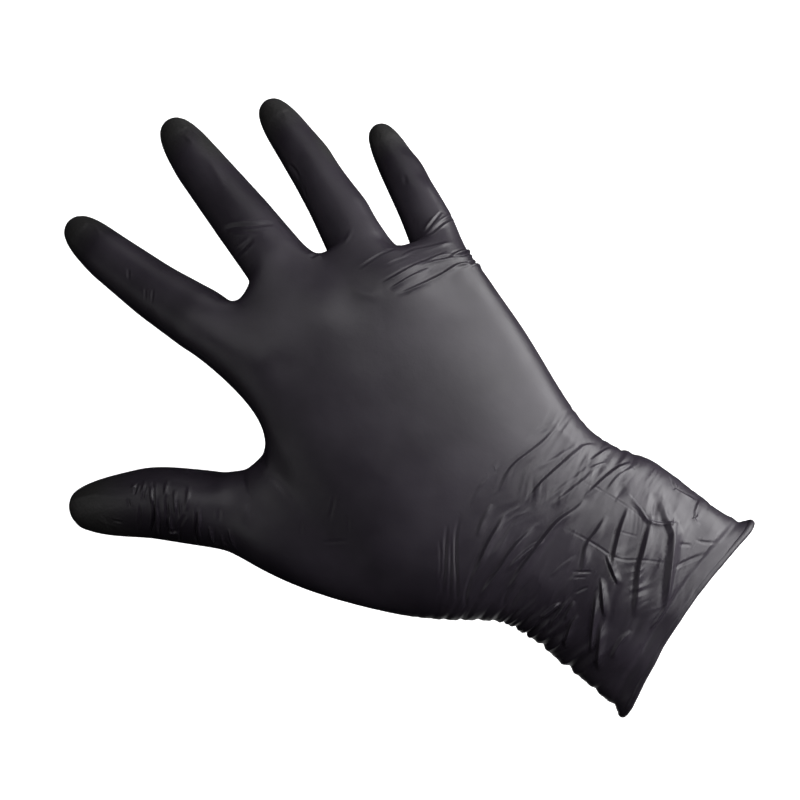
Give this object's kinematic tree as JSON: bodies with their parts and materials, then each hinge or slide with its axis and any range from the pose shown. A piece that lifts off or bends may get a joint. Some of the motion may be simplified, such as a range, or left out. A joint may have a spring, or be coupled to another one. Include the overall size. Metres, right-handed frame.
{
  "type": "disposable glove",
  "caption": "Thin black nitrile glove filled out as on a right hand, with a short cuff ending in a rolled bead and fingers that bend at their joints.",
  "frame": {"origin": "the centre of the cuff's mouth, midway between its two sides", "axes": "+X from the mouth into the glove, towards the fingertips; +Y towards the thumb's side; +Z out of the back of the hand"},
  "size_m": [0.2432, 0.1702, 0.0526],
  "materials": {
    "film": "satin, slightly tacky nitrile, finely textured at the fingertips",
    "bead": "satin nitrile, thicker where it is rolled"
  },
  "bodies": {
    "cuff": {"cuff": "film", "rolled_bead": "bead"},
    "hand": {"wrist_fold": "film", "hand": "film"},
    "little_proximal": {"little_root_fold": "film", "little_proximal": "film"},
    "little_middle": {"little_knuckle_fold": "film", "little_middle": "film"},
    "little_tip": {"little_end_fold": "film", "little_tip": "film"},
    "ring_proximal": {"ring_root_fold": "film", "ring_proximal": "film"},
    "ring_middle": {"ring_knuckle_fold": "film", "ring_middle": "film"},
    "ring_tip": {"ring_end_fold": "film", "ring_tip": "film"},
    "middle_proximal": {"middle_root_fold": "film", "middle_proximal": "film"},
    "middle_middle": {"middle_knuckle_fold": "film", "middle_middle": "film"},
    "middle_tip": {"middle_end_fold": "film", "middle_tip": "film"},
    "index_proximal": {"index_root_fold": "film", "index_proximal": "film"},
    "index_middle": {"index_knuckle_fold": "film", "index_middle": "film"},
    "index_tip": {"index_end_fold": "film", "index_tip": "film"},
    "thumb_proximal": {"thumb_root_fold": "film", "thumb_proximal": "film"},
    "thumb_tip": {"thumb_end_fold": "film", "thumb_tip": "film"}
  },
  "joints": [
    {"name": "wrist_bend", "type": "hinge", "parent": "cuff", "child": "hand", "pos_m": [0.05175, 0.0011, 0], "axis": [-0.0528, 0.9986, 0], "range_deg": [-45, 45], "deforming": ["wrist_fold"]},
    {"name": "little_root_bend", "type": "hinge", "parent": "hand", "child": "little_proximal", "pos_m": [0.13536, -0.05389, -0.00305], "axis": [0.5476, 0.8368, 0], "range_deg": [-15, 50], "deforming": ["little_root_fold"]},
    {"name": "little_knuckle_bend", "type": "hinge", "parent": "little_proximal", "child": "little_middle", "pos_m": [0.1445, -0.0599, -0.00774], "axis": [0.5245, 0.8514, 0], "range_deg": [-5, 75], "deforming": ["little_knuckle_fold"]},
    {"name": "little_end_bend", "type": "hinge", "parent": "little_middle", "child": "little_tip", "pos_m": [0.15797, -0.06773, -0.0157], "axis": [0.4944, 0.8692, 0], "range_deg": [-5, 60], "deforming": ["little_end_fold"]},
    {"name": "ring_root_bend", "type": "hinge", "parent": "hand", "child": "ring_proximal", "pos_m": [0.15676, -0.03958, -0.00213], "axis": [0.4551, 0.8904, 0], "range_deg": [-15, 50], "deforming": ["ring_root_fold"]},
    {"name": "ring_knuckle_bend", "type": "hinge", "parent": "ring_proximal", "child": "ring_middle", "pos_m": [0.16951, -0.04613, -0.0083], "axis": [0.4294, 0.9031, 0], "range_deg": [-5, 75], "deforming": ["ring_knuckle_fold"]},
    {"name": "ring_end_bend", "type": "hinge", "parent": "ring_middle", "child": "ring_tip", "pos_m": [0.18952, -0.05499, -0.01895], "axis": [0.3845, 0.9231, 0], "range_deg": [-5, 60], "deforming": ["ring_end_fold"]},
    {"name": "middle_root_bend", "type": "hinge", "parent": "hand", "child": "middle_proximal", "pos_m": [0.17307, -0.01956, -0.00188], "axis": [0.298, 0.9546, 0], "range_deg": [-15, 50], "deforming": ["middle_root_fold"]},
    {"name": "middle_knuckle_bend", "type": "hinge", "parent": "middle_proximal", "child": "middle_middle", "pos_m": [0.18942, -0.02467, -0.00945], "axis": [0.2924, 0.9563, 0], "range_deg": [-5, 75], "deforming": ["middle_knuckle_fold"]},
    {"name": "middle_end_bend", "type": "hinge", "parent": "middle_middle", "child": "middle_tip", "pos_m": [0.2138, -0.03195, -0.02107], "axis": [0.3055, 0.9522, 0], "range_deg": [-5, 60], "deforming": ["middle_end_fold"]},
    {"name": "index_root_bend", "type": "hinge", "parent": "hand", "child": "index_proximal", "pos_m": [0.18279, 0.00924, -0.00236], "axis": [-0.0497, 0.9988, 0], "range_deg": [-15, 50], "deforming": ["index_root_fold"]},
    {"name": "index_knuckle_bend", "type": "hinge", "parent": "index_proximal", "child": "index_middle", "pos_m": [0.1989, 0.01008, -0.00943], "axis": [-0.0158, 0.9999, 0], "range_deg": [-5, 75], "deforming": ["index_knuckle_fold"]},
    {"name": "index_end_bend", "type": "hinge", "parent": "index_middle", "child": "index_tip", "pos_m": [0.22089, 0.00975, -0.01906], "axis": [0.0459, 0.9989, 0], "range_deg": [-5, 60], "deforming": ["index_end_fold"]},
    {"name": "thumb_root_bend", "type": "hinge", "parent": "hand", "child": "thumb_proximal", "pos_m": [0.14084, 0.05298, -0.01575], "axis": [-0.459, 0.6301, -0.6263], "range_deg": [-15, 45], "deforming": ["thumb_root_fold"]},
    {"name": "thumb_end_bend", "type": "hinge", "parent": "thumb_proximal", "child": "thumb_tip", "pos_m": [0.16477, 0.06707, -0.02235], "axis": [-0.5824, 0.5253, -0.6204], "range_deg": [-10, 60], "deforming": ["thumb_end_fold"]}
  ]
}
